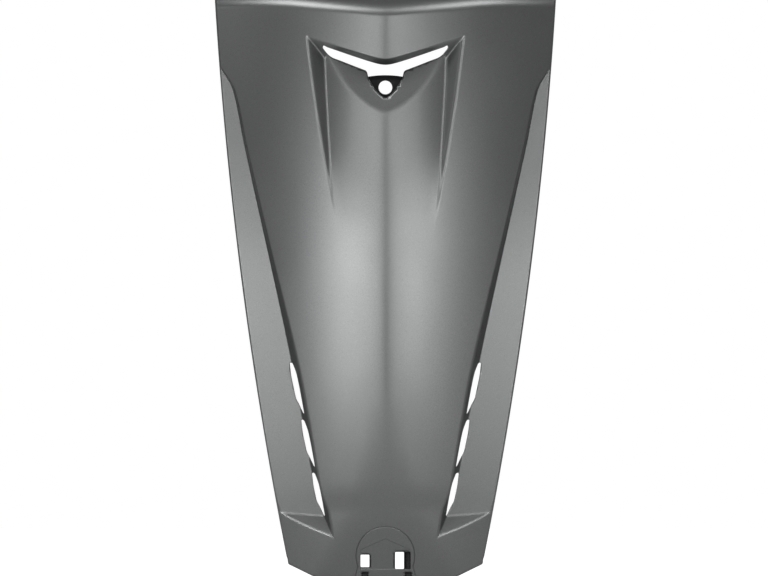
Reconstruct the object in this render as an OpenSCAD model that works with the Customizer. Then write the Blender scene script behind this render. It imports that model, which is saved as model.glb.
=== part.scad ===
// Front panel of a scooter: one moulded sheet with a keel, two recessed wings, a scoop under a V opening,
// a screw tab in that opening and a clip seat at the foot.
// Millimetres. X is across, Y goes back from the face, Z is up. The origin is the centre of the screw hole
// on the front face of its tab.

/* [Panel] */
// Width across the top edge
panel_w = 326; // [318:0.5:334]
// Height from the bottom edge to the top edge
panel_h = 570; // [560:0.5:580]
// Width at the two lower corners
foot_w = 184.8; // [180:0.2:192]
// Half width of the straight part of the bottom edge
foot_flat = 44; // [38:0.5:50]
// Height of the lower corners above the bottom edge
corner_up = 23.5; // [18:0.5:28]
// How far each side bows outwards from the straight line between its corners
side_bow = 9.4; // [7:0.1:12]
// Height of the top edge above the screw hole
top_z = 94; // [90:0.5:98]
// Thickness of the moulded sheet
wall = 2.8; // [2.4:0.1:3.2]
// Depth of the edge that is turned back along the sides and the foot
rim_depth = 9; // [6:0.5:12]

/* [Section] */
// How far the keel stands in front of the screw tab
keel_out = 45; // [43:0.5:47]
// Radius of each half of the face across the panel
section_r = 450; // [430:5:480]
// Angle that each half turns back at the keel
keel_turn = 5; // [4:0.25:6]
// Radius of the face from top to bottom
side_r = 1900; // [1700:50:2200]
// Depth of the foremost height under the screw hole
side_mid = 200; // [190:1:210]

/* [Top face] */
// Height of the front edge of the top face at the keel
crest_z = 70.6; // [68:0.2:72]
// Angle at which the top face rises to the back
crest_rise = 38.7; // [34:0.5:44]
// Distance of the bend in that edge from the keel
crest_bend = 75; // [70:1:80]
// How much that edge rises from the keel to the bend
crest_lift = 9.9; // [8:0.1:12]
// Sideways fall of the top face outside the bend
crest_fall = 14.5; // [12:0.5:16]

/* [Chin] */
// Height above the bottom edge where the keel runs out
chin_up = 141; // [130:1:148]
// Radius of the chin from top to bottom
chin_r = 700; // [620:10:800]
// Angle between the keel and the chin
chin_turn = 1.7; // [1.4:0.1:2]

/* [Wings] */
// Distance of the wing's inner edge from the middle at its upper end
wing_top_x = 136.3; // [134:0.1:138]
// Distance of the wing's inner edge from the middle at its foot
wing_foot_x = 63; // [61:0.1:65]
// Height of the foot of the wings above the bottom edge
wing_up = 69; // [64:0.5:74]
// Angle of the wing's inner edge above that bend
wing_turn = 28.3; // [26:0.5:32]
// Lean of the wing's wall
wing_lean = 24; // [18:0.5:28]
// Slope of the wing's floor across the wing
wing_slope = 0.05; // [0.02:0.01:0.08]
// Angle of the ramp that closes the wing
ramp_angle = 65; // [60:0.5:68]

/* [Scoop] */
// Distance of the scoop's upper corners from the middle
scoop_w = 73.3; // [70:0.1:76]
// Distance of the scoop's lower tips from the middle
scoop_tip_x = 50.6; // [48:0.1:53]
// Depth of the lower tips under the screw hole
scoop_drop = 101.5; // [96:0.5:106]
// Angle at which the scoop's floor falls back towards the opening
scoop_tilt = 5; // [4.5:0.1:5.5]
// Lean of the scoop's side walls
scoop_lean = 53; // [48:0.5:56]
// Height of the brow's lower edge at the keel
brow_z = 20.7; // [20:0.1:22]
// Rise of the brow to each side
brow_rise = 17; // [16:0.25:18]

/* [V opening] */
// Distance of the tips of the opening from the middle
slit_tip_x = 58.8; // [57:0.1:60]
// Height of the lower edge of the opening beside the notch
slit_low_z = 14.6; // [13.5:0.1:15.5]
// Rise of that edge to each side
slit_low_rise = 23.4; // [22:0.2:24]
// Width of the notch over the screw tab
notch_w = 33; // [32:0.2:34]
// Height of the notch's floor at its corners
notch_z = 10.1; // [9.5:0.1:11]
// Angle at which the faces under the opening fall back
facet_dip = 40; // [38:0.5:42]
// Rise of the lower edge of the side faces
facet_rise = 49.7; // [48:0.1:51]
// Depth of the lower edge of the middle face under the screw hole
facet_low = 22; // [20:0.5:24]

/* [Screw tab] */
// Diameter of the screw hole
screw_d = 13; // [12:0.1:13.4]
// Thickness of the tab
tab_t = 3; // [2.6:0.1:4]
// Width of the three-cornered pocket in front of the tab
tab_w = 34; // [33.4:0.1:35]
// Depth of the pocket's lower tip under the screw hole
tab_low = 9.9; // [9.7:0.1:11]

/* [Side slots] */
// Length of the uppermost slot
slot_len = 48.6; // [46:0.2:50]
// How much shorter each next slot is
slot_less = 3.7; // [3:0.1:4.5]
// Bridge between two slots
slot_gap = 5.5; // [4.5:0.1:6.5]
// Width of the slots
slot_w = 5.5; // [4.8:0.1:6]
// How far the slots cut into the wing's floor
slot_out = 1.9; // [1.5:0.1:2.2]

/* [Clip seat] */
// Height of the middle of the round line above the bottom edge
seat_up = 31.5; // [30:0.5:34]
// Radius of the round line
seat_r = 27.8; // [26.5:0.1:29]
// Width of the line
line_w = 0.9; // [0.6:0.1:1.4]
// Depth of the line
line_d = 0.6; // [0.4:0.1:0.8]
// Depth of the house-shaped face round the clip holes
house_d = 0.8; // [0.5:0.1:1]
// Width of that face
house_w = 47.4; // [46:0.2:48]
// Width of each clip hole
clip_w = 8.4; // [7.6:0.1:9]
// Height of the left clip hole
clip_left_h = 12; // [10:0.1:13]
// Height of the right clip hole
clip_right_h = 16.4; // [15:0.1:17.4]
// Distance of the left clip hole from the middle
clip_out = 19.4; // [19:0.1:20]
// Distance between the middles of the clip holes
clip_pitch = 32.8; // [32:0.1:34]
// Depth of the sleeves behind the clip holes
sleeve_d = 9; // [6:0.5:12]
// Thickness of the sleeves
sleeve_t = 2; // [1.6:0.1:2.4]
// Depth of the blind pockets
pocket_d = 5; // [4:0.1:6]

/* [Hidden] */
$fn = 180;
edge_fn = 1440;
// How far the cutting bodies reach past what they cut
room = 700;
slack = 20;
front_end = -100;
back_end = 100;
body_back = 150;
side_angle = 22;
half_top = panel_w / 2;
half_foot = foot_w / 2;
// Depths under the screw hole, from the bottom edge
foot_drop = panel_h - top_z;
corner_drop = foot_drop - corner_up;
wing_drop = foot_drop - wing_up;
chin_drop = foot_drop - chin_up;
seat_drop = foot_drop - seat_up;
keel_y = -keel_out;
side_axis_y = side_r + keel_y;

// Distance that an arc of radius r falls behind its foremost point
function sag(r, d) = r - sqrt(r * r - d * d);
function section_y(x) = section_r * cos(keel_turn)
    - sqrt(section_r * section_r - pow(x + section_r * sin(keel_turn), 2));
// Y of the plain face at a place in the front view
function face_y(x, z) = side_axis_y - sqrt(pow(side_r - section_y(x), 2) - pow(z + side_mid, 2));
function flat_length(v) = sqrt(v[0] * v[0] + v[2] * v[2]);

// Side edge in the front view
edge_dx = half_top - half_foot;
edge_dz = top_z + corner_drop;
edge_len = sqrt(edge_dx * edge_dx + edge_dz * edge_dz);
edge_r = (edge_len * edge_len / 4 + side_bow * side_bow) / (2 * side_bow);
edge_cx = (half_top + half_foot) / 2 - edge_dz / edge_len * (edge_r - side_bow);
edge_cz = (top_z - corner_drop) / 2 + edge_dx / edge_len * (edge_r - side_bow);
function edge_x(z) = edge_cx + sqrt(edge_r * edge_r - pow(z - edge_cz, 2));
foot_slope = corner_up / (half_foot - foot_flat);

// Top face
crest_lean = 1.2;
crest_bend_z = crest_z + crest_lift;

// Wing floor: an arc along the side edge, through the face at three heights of that edge
wing_start_z = 17;
wing_end_z = -wing_drop;
wing_mid_z = (wing_start_z + wing_end_z) / 2 - slack;
wing_tilt = atan((edge_x(wing_start_z) - edge_x(wing_end_z)) / (wing_start_z - wing_end_z));
wing_v1 = (wing_start_z - wing_mid_z) / cos(wing_tilt);
wing_v2 = (wing_start_z - wing_end_z) / cos(wing_tilt);
wing_y0 = face_y(edge_x(wing_start_z), wing_start_z);
wing_y1 = face_y(edge_x(wing_mid_z), wing_mid_z);
wing_y2 = face_y(edge_x(wing_end_z), wing_end_z);
wing_curve = ((wing_y2 - wing_y0) / wing_v2 - (wing_y1 - wing_y0) / wing_v1) / (wing_v2 - wing_v1);
wing_fall = (wing_y1 - wing_y0) / wing_v1 - wing_curve * wing_v1;
wing_r = 1 / (2 * wing_curve);
wing_v = -wing_fall / (2 * wing_curve);
wing_fore = [
    edge_x(wing_start_z) - wing_v * sin(wing_tilt),
    wing_y0 - wing_curve * wing_v * wing_v,
    wing_start_z - wing_v * cos(wing_tilt)
];
wing_in = 90;
wing_up_angle = 12;
wing_down_angle = 6;
// Y of the wing's floor at a place in the front view
function wing_y(x, z) =
    let (dx = x - wing_fore[0], dz = z - wing_fore[2],
         u = dx * cos(wing_tilt) - dz * sin(wing_tilt),
         v = dx * sin(wing_tilt) + dz * cos(wing_tilt))
    wing_fore[1] + wing_slope * u + sag(wing_r, v);
wing_top_z = -44.6;
wing_foot = [wing_foot_x, wing_y(wing_foot_x, wing_end_z), wing_end_z];
wing_run = [wing_top_x, wing_y(wing_top_x, wing_top_z), wing_top_z] - wing_foot;
wing_side = atan(wing_run[0] / wing_run[2]);
wing_back = atan(wing_run[1] / flat_length(wing_run));
function wing_edge_x(z) = wing_foot_x + (z - wing_end_z) * tan(wing_side);
wing_bend_z = -2;
wing_bend_x = wing_edge_x(wing_bend_z);
wing_bend_at = [wing_bend_x, wing_y(wing_bend_x, wing_bend_z), wing_bend_z];

// Scoop
scoop_corner_z = brow_z + scoop_w * tan(brow_rise);
scoop_tip = [scoop_tip_x, face_y(scoop_tip_x, -scoop_drop), -scoop_drop];
scoop_run = [scoop_w, face_y(scoop_w, scoop_corner_z), scoop_corner_z] - scoop_tip;
scoop_side = atan(scoop_run[0] / scoop_run[2]);
scoop_back = atan(scoop_run[1] / flat_length(scoop_run));
function floor_y(x, z) = face_y(x, z) + (z + scoop_drop) * tan(scoop_tilt);

// Faces under the V opening; the line of the side face runs through facet_at
facet_x = 19.3;
facet_z = -14.7;
facet_span = 34;
facet_end = [facet_x + facet_span, facet_z + facet_span * tan(facet_rise)];
facet_at = [facet_x, floor_y(facet_x, facet_z), facet_z];
facet_run = [facet_end[0], floor_y(facet_end[0], facet_end[1]), facet_end[1]] - facet_at;
facet_turn = atan(facet_run[1] / flat_length(facet_run));

// V opening in the front view
slit_bite = 0.5;
slit_end = 6.7;
notch_flare = 1.2;
notch_arch = 1.3;
slit_top = brow_z + slit_bite;
slit_tip_z = slit_top + slit_tip_x * tan(brow_rise) - notch_flare;
slit_low_x = notch_w / 2 + notch_flare;
slit_half = [
    [slit_tip_x, slit_tip_z + 1],
    [slit_tip_x + 0.3, slit_tip_z],
    [slit_tip_x - slit_end, slit_low_z + (slit_tip_x - slit_end - slit_low_x) * tan(slit_low_rise)],
    [slit_low_x, slit_low_z],
    [notch_w / 2, notch_z]
];

// Chin
chin_slope = asin((chin_drop - side_mid) / side_r) + chin_turn;
chin_cy = face_y(0, -chin_drop) + chin_r * cos(chin_slope);
chin_cz = -chin_drop + chin_r * sin(chin_slope);
chin_clear = 30;
function chin_y(z) = chin_cy - sqrt(chin_r * chin_r - pow(z - chin_cz, 2));

// Screw tab
tab_top = notch_z + 0.2;
tab_over = 4;
tab_tip = 1.7;
// Where the sides of the pocket bend, as shares of its half width and of its height
tab_side_x = 0.8;
tab_side_z = 0.26;

// Side slots, along the foot of the wing's wall
slot_in = slot_out - slot_w;
slot_inset = 2.1;
slot_count = 3;
slot_taper = 11;
slot_bite = 1.5;
slot_start = 0.2;
function slot_x(z) = wing_edge_x(z) - slot_inset;
function slot_length(i) = slot_len - i * slot_less;
function slots_length(i) = i == 0 ? 0 : slots_length(i - 1) + slot_length(i - 1) + slot_gap;
// Depth of the uppermost slot's top; the lowest slot ends at the wing's foot
slot_drop = wing_drop - slot_start - slots_length(slot_count) + slot_gap;
function slot_z(i) = -slot_drop - slots_length(i);

// Clip seat
seat_y = chin_y(-seat_drop);
clip_left_z = -seat_drop - 4.9;
clip_right_z = clip_left_z + 0.4;
clip_left_x = -clip_out;
clip_right_x = clip_left_x + clip_pitch;
side_pocket_w = 6.2;
pocket_over = 0.2;
low_pocket_w = 6.5;
pocket_h = 7.5;
pocket_drop = seat_drop + 19.5;
neck_low = 9.9;
neck_drop = seat_drop + neck_low;
neck_x = sqrt(seat_r * seat_r - neck_low * neck_low);
leg_out = 6;
house_top = -seat_drop + 16.6;
house_eaves = -seat_drop + 6;
house_low = -seat_drop - 13.1;

// Blocks with one face through the origin, moved out by o; each is named for the side that it fills
module above(o) translate([-room, -room, -o]) cube(2 * room);
module below(o) translate([-room, -room, o - 2 * room]) cube(2 * room);
module outside(o) translate([-o, -room, -room]) cube(2 * room);
module inside(o) translate([o - 2 * room, -room, -room]) cube(2 * room);
module before(o) translate([-room, o - 2 * room, -room]) cube(2 * room);

// A prism along Y from a shape of the front view
module through(front, back) {
    translate([0, back, 0])
        rotate([90, 0, 0])
            linear_extrude(height = back - front)
                children();
}

// Turns a shape round an axis that lies along X, r behind the origin, from up degrees above to down below it
module round_x(r, up, down) {
    translate([0, r, 0])
        rotate([0, 90, 0])
            rotate([0, 0, -90 - up])
                rotate_extrude(angle = up + down)
                    children();
}

// The points of the right side on the left, in the opposite order
function mirrored(right) = [for (i = [len(right) - 1:-1:0]) [-right[i][0], right[i][1]]];

module both() {
    children();
    mirror([1, 0, 0])
        children();
}

// One half of the plain body, o deep under its face, from x0 outwards
module plain_half(o, x0) {
    translate([0, keel_y, -side_mid])
        round_x(side_r, side_angle / 2, side_angle / 2)
            intersection() {
                translate([side_r - section_r * cos(keel_turn), -section_r * sin(keel_turn)])
                    circle(r = section_r - o);
                translate([side_r - body_back - o, x0])
                    square([2 * body_back, half_top + slack - x0]);
            }
}

// Room in front of the right wing, o deeper than its floor and walls
module wing_room(o) {
    intersection() {
        translate(wing_fore)
            rotate([0, wing_tilt, 0])
                round_x(wing_r, wing_up_angle, wing_down_angle)
                    polygon([
                        [wing_r - o + wing_slope * wing_in, -wing_in],
                        [wing_r + wing_in, -wing_in],
                        [wing_r + wing_in, slack],
                        [wing_r - o - wing_slope * slack, slack]
                    ]);
        translate(wing_foot)
            rotate([-wing_back, wing_side, 0])
                rotate([0, 0, -wing_lean])
                    outside(o);
        translate(wing_bend_at)
            rotate([-wing_back, wing_turn, 0])
                rotate([0, 0, -wing_lean])
                    outside(o);
        translate([0, wing_foot[1], wing_end_z])
            rotate([ramp_angle, 0, 0])
                above(o);
    }
}

// Room above the top face, o deeper than that face
module top_room(o) {
    translate([0, face_y(0, crest_z), crest_z])
        rotate([crest_rise, crest_lean, 0])
            above(o);
    translate([crest_bend, face_y(crest_bend, crest_bend_z), crest_bend_z])
        rotate([crest_rise, crest_fall, 0])
            above(o);
}

module chin_drum(o) {
    translate([-room - 1, chin_cy, chin_cz])
        rotate([0, 90, 0])
            cylinder(r = chin_r - o, h = 2 * room + 2);
}

// Room in front of the chin, o deeper than its face
module chin_room(o) {
    difference() {
        translate([-room, -room / 2, -chin_drop + chin_clear - 2 * room])
            cube([2 * room, room, 2 * room]);
        chin_drum(o);
    }
}

// Right half of the body without the scoop
module outer_half(o) {
    difference() {
        plain_half(o, 0);
        wing_room(o);
        top_room(o);
        chin_room(o);
    }
}

// Space between the scoop's right wall, its brow and the middle, grown by o
module scoop_space(o, low) {
    intersection() {
        translate(scoop_tip)
            rotate([-scoop_back, scoop_side, 0])
                rotate([0, 0, scoop_lean])
                    inside(o);
        translate([0, 0, brow_z])
            rotate([0, -brow_rise, 0])
                below(o);
        translate([-1, front_end, low])
            cube([back_end, back_end - front_end, scoop_corner_z + slack - low]);
    }
}

// Room of the right half of the scoop
module scoop_room(o) {
    difference() {
        scoop_space(o, -scoop_drop - slack / 2);
        translate(scoop_tip)
            rotate([-scoop_tilt, 0, 0])
                translate(-scoop_tip)
                    plain_half(o, -slack);
    }
}

// Room in front of the faces under the opening
module facet_room(o) {
    intersection() {
        translate(facet_at)
            rotate([0, -facet_rise, 0])
                rotate([0, 0, facet_turn])
                    rotate([-facet_dip, 0, 0])
                        before(o);
        translate([0, floor_y(0, -facet_low), -facet_low])
            rotate([-facet_dip, 0, 0])
                before(o);
        scoop_space(o, -facet_low - 2 * slack);
    }
}

// Right half of the body, o deep under its face
module half_body(o) {
    difference() {
        outer_half(o);
        scoop_room(o);
        facet_room(o);
    }
}

// Outline of the front view, o inside its side and bottom edges
module outline(o) {
    side_z = -corner_drop + o + (half_top + slack - half_foot) * foot_slope;
    intersection() {
        translate([edge_cx, edge_cz])
            circle(r = edge_r - o, $fn = edge_fn);
        translate([-edge_cx, edge_cz])
            circle(r = edge_r - o, $fn = edge_fn);
        polygon([
            [-half_top - slack, top_z],
            [-half_top - slack, side_z],
            [-foot_flat, -foot_drop + o],
            [foot_flat, -foot_drop + o],
            [half_top + slack, side_z],
            [half_top + slack, top_z]
        ]);
    }
}

// Three-cornered pocket in front of the screw tab, g larger all round
module tab_shape(g) {
    right = [
        [tab_w / 2 + g, tab_top + tab_over],
        [tab_w / 2 + g, tab_top],
        [tab_w / 2 * tab_side_x + g, tab_top - (tab_top + tab_low) * tab_side_z - g / 2],
        [tab_tip + g / 2, -tab_low - g]
    ];
    polygon(concat(right, mirrored(right)));
}

// The V opening over the notch
module slit_shape() {
    polygon(concat([[0, slit_top]], slit_half, [[0, notch_z + notch_arch]], mirrored(slit_half)));
}

// One slot in the foot of the right wing's wall
module slot_shape(top, length) {
    polygon([
        for (p = [
            [0, 0],
            [slot_out, -slot_taper],
            [slot_out, slot_taper - length],
            [slot_in + slot_bite, -length],
            [slot_in, slot_bite - length],
            [slot_in, -slot_taper]
        ]) [slot_x(top + p[1]) + p[0], top + p[1]]
    ]);
}

module slots() {
    for (i = [0:slot_count - 1])
        slot_shape(slot_z(i), slot_length(i));
}

// Rectangle of the clip seat from its middle and size, g larger all round
module seat_box(x, z, w, h, g) {
    translate([x - w / 2 - g, z - h / 2 - g])
        square([w + 2 * g, h + 2 * g]);
}

module clip_holes(g) {
    seat_box(clip_left_x, clip_left_z, clip_w, clip_left_h, g);
    seat_box(clip_right_x, clip_right_z, clip_w, clip_right_h, g);
}

// Blind pockets beside and under the clip holes
module blind_pockets(g) {
    seat_box(clip_right_x + (clip_w + side_pocket_w) / 2, clip_right_z, side_pocket_w + pocket_over, clip_right_h, g);
    seat_box(clip_left_x, -pocket_drop, low_pocket_w, pocket_h, g);
    seat_box(clip_right_x + clip_w, -pocket_drop, low_pocket_w, pocket_h, g);
}

// Line round the seat, with its two legs down to the bottom edge
module seat_line() {
    intersection() {
        translate([0, -seat_drop])
            difference() {
                circle(r = seat_r + line_w / 2);
                circle(r = seat_r - line_w / 2);
            }
        translate([-room, -neck_drop])
            square(2 * room);
    }
    for (side = [-1, 1])
        polygon([
            [side * (neck_x - line_w / 2), -neck_drop],
            [side * (neck_x + line_w / 2), -neck_drop],
            [side * (neck_x + line_w / 2 + leg_out), -foot_drop - 1],
            [side * (neck_x - line_w / 2 + leg_out), -foot_drop - 1]
        ]);
}

module house_shape() {
    polygon([
        [-house_w / 2, house_low],
        [house_w / 2, house_low],
        [house_w / 2, house_eaves],
        [0, house_top],
        [-house_w / 2, house_eaves]
    ]);
}

// What stays solid behind the sheet: turned-back edge, tab with its walls, sleeves and pockets
module backing() {
    difference() {
        through(front_end, back_end)
            difference() {
                outline(-1);
                outline(wall);
            }
        both()
            outer_half(rim_depth);
    }
    through(front_end, tab_t)
        tab_shape(wall);
    through(front_end, seat_y + wall + sleeve_d)
        clip_holes(sleeve_t);
    through(front_end, seat_y + pocket_d + sleeve_t)
        blind_pockets(sleeve_t);
}

module front_panel() {
    color([0.3, 0.32, 0.32])
        difference() {
            intersection() {
                both()
                    half_body(0);
                through(2 * front_end, 2 * back_end)
                    outline(0);
            }
            difference() {
                both()
                    half_body(wall);
                backing();
            }
            through(front_end, back_end)
                slit_shape();
            through(front_end, 0)
                tab_shape(0);
            rotate([90, 0, 0])
                cylinder(d = screw_d, h = body_back, center = true);
            both()
                through(front_end, back_end)
                    slots();
            through(front_end, back_end)
                clip_holes(0);
            through(front_end, seat_y + pocket_d)
                blind_pockets(0);
            difference() {
                through(front_end, back_end)
                    seat_line();
                chin_drum(line_d);
            }
            difference() {
                through(front_end, back_end)
                    house_shape();
                chin_drum(house_d);
            }
        }
}

front_panel();
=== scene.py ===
# Looks of the scooter front panel: one painted moulding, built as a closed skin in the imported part's frame.
# Shapes are worked out in millimetres: X across, Y back and Z up, with the origin in the screw hole.
import math

import bpy
import numpy as np
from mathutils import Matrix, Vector, kdtree
from mathutils.geometry import delaunay_2d_cdt


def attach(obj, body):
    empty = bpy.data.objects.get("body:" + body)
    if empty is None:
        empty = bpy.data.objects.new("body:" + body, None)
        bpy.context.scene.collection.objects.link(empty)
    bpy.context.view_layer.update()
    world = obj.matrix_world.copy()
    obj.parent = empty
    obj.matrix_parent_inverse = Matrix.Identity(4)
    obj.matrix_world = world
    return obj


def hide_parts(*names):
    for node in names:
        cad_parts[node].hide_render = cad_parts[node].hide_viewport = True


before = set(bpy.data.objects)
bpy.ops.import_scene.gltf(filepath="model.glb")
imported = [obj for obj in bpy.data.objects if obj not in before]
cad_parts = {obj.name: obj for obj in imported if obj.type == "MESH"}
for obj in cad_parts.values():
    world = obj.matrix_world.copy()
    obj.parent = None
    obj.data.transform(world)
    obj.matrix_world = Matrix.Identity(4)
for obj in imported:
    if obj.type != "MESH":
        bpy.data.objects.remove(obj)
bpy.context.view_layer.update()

MM = 0.001
FAR = 400.0
TINY = 1e-12

# Body
PANEL_W = 326.0
FOOT_W = 184.8
FOOT_FLAT = 44.0
SIDE_BOW = 9.4
TOP_Z = 94.0
CORNER_Z = -452.5
FOOT_Z = -476.0
WALL = 2.8
RIM = 9.0
REAR_Y = 47.0
KEEL_OUT = 45.0
KEEL_TURN = math.radians(5.0)
SECTION_R = 450.0
SIDE_R = 1900.0
SIDE_MID = 200.0

# Roundings of the body's edges and keel
EDGE_R = 1.8
TOP_R = 1.0
HOLE_R = 0.6
STEEP = 8.0
FOOT_CORNER_R = 1.5
CREASE_R = 5.0
CREASE_END = 24.0
CREASE_FADE = (-372.0, -404.0)

# Crest: a V line across the top, above which the face goes back
CREST_LOW = 72.6
CREST_HIGH = 82.2
CREST_SLOPE = 0.095
CREST_SOFT = 8.0
CREST_LEVEL = 2.0
CREST_BACK = 1.1
CREST_EDGE = 8.0

# Chin: the part of the foot that turns back
CHIN_Z = -335.0
CHIN_R = 700.0
CHIN_TURN = math.radians(1.7)
CHIN_CLEAR = 30.0
CHIN_EDGE = 2.5

# Wings: a floor that twists a little, a wall that grows steep towards its top, a bend and a ramp
WING_TOP_X = 136.3
WING_TOP_Z = -44.6
WING_FOOT_X = 63.0
WING_Z = -407.0
WING_START_Z = 17.0
WING_MID_DROP = 20.0
WING_SLOPE = 0.05
WING_TWIST = 0.09
WING_TWIST_Z = (-190.0, 10.0)
WING_LEAN = 24.0
WING_STEEP = 14.0
WING_STEEP_Z = (-290.0, -60.0)
WING_BEND_Z = -2.0
WING_TURN = 28.3
WING_BEND_R = 7.0
WING_BULGE = 1.4
WING_BULGE_Z = -14.0
WING_BULGE_LEN = 26.0
RAMP = 65.0
WING_FILLET = 1.6
RAMP_FILLET = 0.8
WING_EDGE = 0.4
WING_EDGE_WALL = 3.0
WING_EDGE_HIGH = 1.4
WING_EDGE_RAMP = 0.7

# Scoop: two leaning walls and a floor that bends back towards them
SCOOP_X = 73.3
SCOOP_TIP_X = 50.6
SCOOP_Z = -101.5
SCOOP_TILT = math.radians(5.0)
SCOOP_LEAN = 53.0
SCOOP_BEND = 0.0042
SCOOP_BEND_X = 30.0
SCOOP_BEND_LEN = 80.0
SCOOP_FILLET = 2.0
SCOOP_CORNER = 1.8
SCOOP_EDGE = 2.4
SCOOP_EDGE_LOW = 1.2
SCOOP_EDGE_BROW = 1.0
FADE = 3.0

# Brow over the opening: a V edge, the slope under it, and the steeper part behind the opening
BROW_Z = 20.7
BROW_RISE = math.radians(17.0)
BROW_BASE = 24.2
BROW_SLOPE = 0.32
BROW_SOFT = 6.0
BROW_DEPTH = (1.6, 0.89)
BROW_CHANGE_X = (35.0, 54.0)
BROW_END_X = 57.0
BROW_END_LEN = 5.0
UNDER_DROP = 1.5
UNDER_DEPTH = 4.0
UNDER_LIP = 0.5

# Bowl under the opening, with its lower edge from the middle outwards
BOWL_DIP = math.radians(15.0)
BOWL_NEAR = 90.0
BOWL_SOFT = 1.0
BOWL_TURN = 3.0
BOWL_STEP = 3.0
BOWL_EDGE = [
    (0.0, -23.1), (5.9, -22.0), (14.2, -17.8), (22.5, -11.6), (30.9, -4.5), (36.5, 1.2), (42.0, 7.8),
    (47.6, 15.9), (52.6, 24.4), (60.0, 38.0), (60.0, 90.0),
]

# Opening: a V with a rounded bottom, with a notch over the screw tab
SLIT_BASE = 18.4
SLIT_RISE = 0.35
SLIT_SOFT = 8.0
SLIT_END_X = 55.5
NOTCH_X = 16.4
NOTCH_Z = 10.3
NOTCH_ARCH = 1.4

# Screw tab
TAB_T = 3.0
SCREW_R = 6.5
SCREW_SIDES = 48
LIP_SLOPE = 0.45
LIP_BACK = 2.4
LIP_START = 0.2

# Slots in the wings' walls
SLOTS_A_SIDE = 3
SLOT_LEN = 48.6
SLOT_LESS = 3.7
SLOT_GAP = 5.5
SLOT_UP = 0.2

# Clip seat: a round groove with two legs, a cut like a house front, the clip holes and the blind pockets
SEAT_Z = -444.5
SEAT_R = 27.8
SEAT_NECK = 9.9
LEG_OUT = 6.0
LEG_OVER = 0.2
LINE_W = 0.3
LINE_D = 0.8
HOUSE_D = 0.8
HOUSE_EDGE = (-0.1, 0.7)
HOUSE_X = 23.7
HOUSE_DOWN = 13.1
HOUSE_EAVE = 6.0
HOUSE_RIDGE = 16.6
HOUSE_TURN = 0.8
HOUSE_STEP = 1.0
CLIP_W = 8.4
CLIP_L = (-19.4, SEAT_Z - 4.9, CLIP_W, 12.0)
CLIP_R = (13.4, SEAT_Z - 4.5, CLIP_W, 16.4)
BLIND = [(20.8, SEAT_Z - 4.5, 6.0, 16.4), (-19.4, SEAT_Z - 19.5, 6.5, 7.5), (21.8, SEAT_Z - 19.5, 6.5, 7.5)]
BLIND_R = 0.6
SLEEVE_D = 9.0
SLEEVE_T = 2.0
POCKET_D = 5.0
SEAT_TOP = 40.0
SEAT_REACH = 45.0


def sag(r, d):
    """How far an arc of radius r has dropped at the distance d from its crown."""
    return r - np.sqrt(r * r - d * d)


def share(a, b, k):
    """1 where a is above b by k or more, 0 where it is below by k or more, and a straight run between."""
    return np.clip(0.5 + 0.5 * (a - b) / k, 0.0, 1.0)


def soft_min(a, b, k):
    h = share(b, a, k)
    return b + (a - b) * h - k * h * (1.0 - h)


def soft_max(a, b, k):
    return -soft_min(-a, -b, k)


def soft_v(x, soft):
    """The distance from the middle, rounded over soft there."""
    return np.sqrt(x * x + soft ** 2)


def lean_gap(o, slope):
    """How much deeper a surface with that slope lies when it is set o back square to itself."""
    return o * (np.hypot(1.0, slope) - 1.0)


def ramp01(v, a, b):
    """0 at a, 1 at b, and a smooth run between."""
    t = np.clip((v - a) / (b - a), 0.0, 1.0)
    return t * t * (3.0 - 2.0 * t)


def section_y(x, o):
    """The body's section across: an arc on each side of the keel, o deeper."""
    r = SECTION_R - o
    return SECTION_R * math.cos(KEEL_TURN) - np.sqrt(r * r - (x + SECTION_R * math.sin(KEEL_TURN)) ** 2)


def face_y(x, z, o=0.0):
    """The plain face: the section swept along an arc."""
    return SIDE_R - KEEL_OUT - np.sqrt((SIDE_R - section_y(x, o)) ** 2 - (z + SIDE_MID) ** 2)


# Side edge in the front view
EDGE_DX = (PANEL_W - FOOT_W) / 2.0
EDGE_DZ = TOP_Z - CORNER_Z
EDGE_LEN = math.hypot(EDGE_DX, EDGE_DZ)
EDGE_RAD = (EDGE_LEN ** 2 / 4.0 + SIDE_BOW ** 2) / (2.0 * SIDE_BOW)
EDGE_CX = (PANEL_W + FOOT_W) / 4.0 - EDGE_DZ / EDGE_LEN * (EDGE_RAD - SIDE_BOW)
EDGE_CZ = (TOP_Z + CORNER_Z) / 2.0 + EDGE_DX / EDGE_LEN * (EDGE_RAD - SIDE_BOW)
FOOT_RUN = FOOT_W / 2.0 - FOOT_FLAT
FOOT_LEN = math.hypot(FOOT_RUN, CORNER_Z - FOOT_Z)


def edge_x(z):
    """Where the right side edge stands at that height."""
    return EDGE_CX + np.sqrt(EDGE_RAD ** 2 - (z - EDGE_CZ) ** 2)


def edge_gap(x, z):
    """Distance inside the side and bottom edges."""
    x = np.abs(x)
    side = EDGE_RAD - np.hypot(x - EDGE_CX, z - EDGE_CZ)
    slope = ((z - FOOT_Z) * FOOT_RUN - (x - FOOT_FLAT) * (CORNER_Z - FOOT_Z)) / FOOT_LEN
    return np.minimum(np.minimum(side, slope), z - FOOT_Z)


def turned(v, lean, back, side):
    """Direction v turned about Z by lean, about X by -back and about Y by side, in degrees."""
    a, b, s = (math.radians(t) for t in (lean, back, side))
    x, y, z = v
    x, y = x * math.cos(a) - y * math.sin(a), x * math.sin(a) + y * math.cos(a)
    y, z = y * math.cos(b) + z * math.sin(b), -y * math.sin(b) + z * math.cos(b)
    return x * math.cos(s) + z * math.sin(s), y, -x * math.sin(s) + z * math.cos(s)


def plane_y(x, z, at, n, o):
    """Y of a plane through at with the direction n towards the room in front of it, o deeper."""
    return at[1] + (o + n[0] * (x - at[0]) + n[2] * (z - at[2])) / -n[1]


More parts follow.
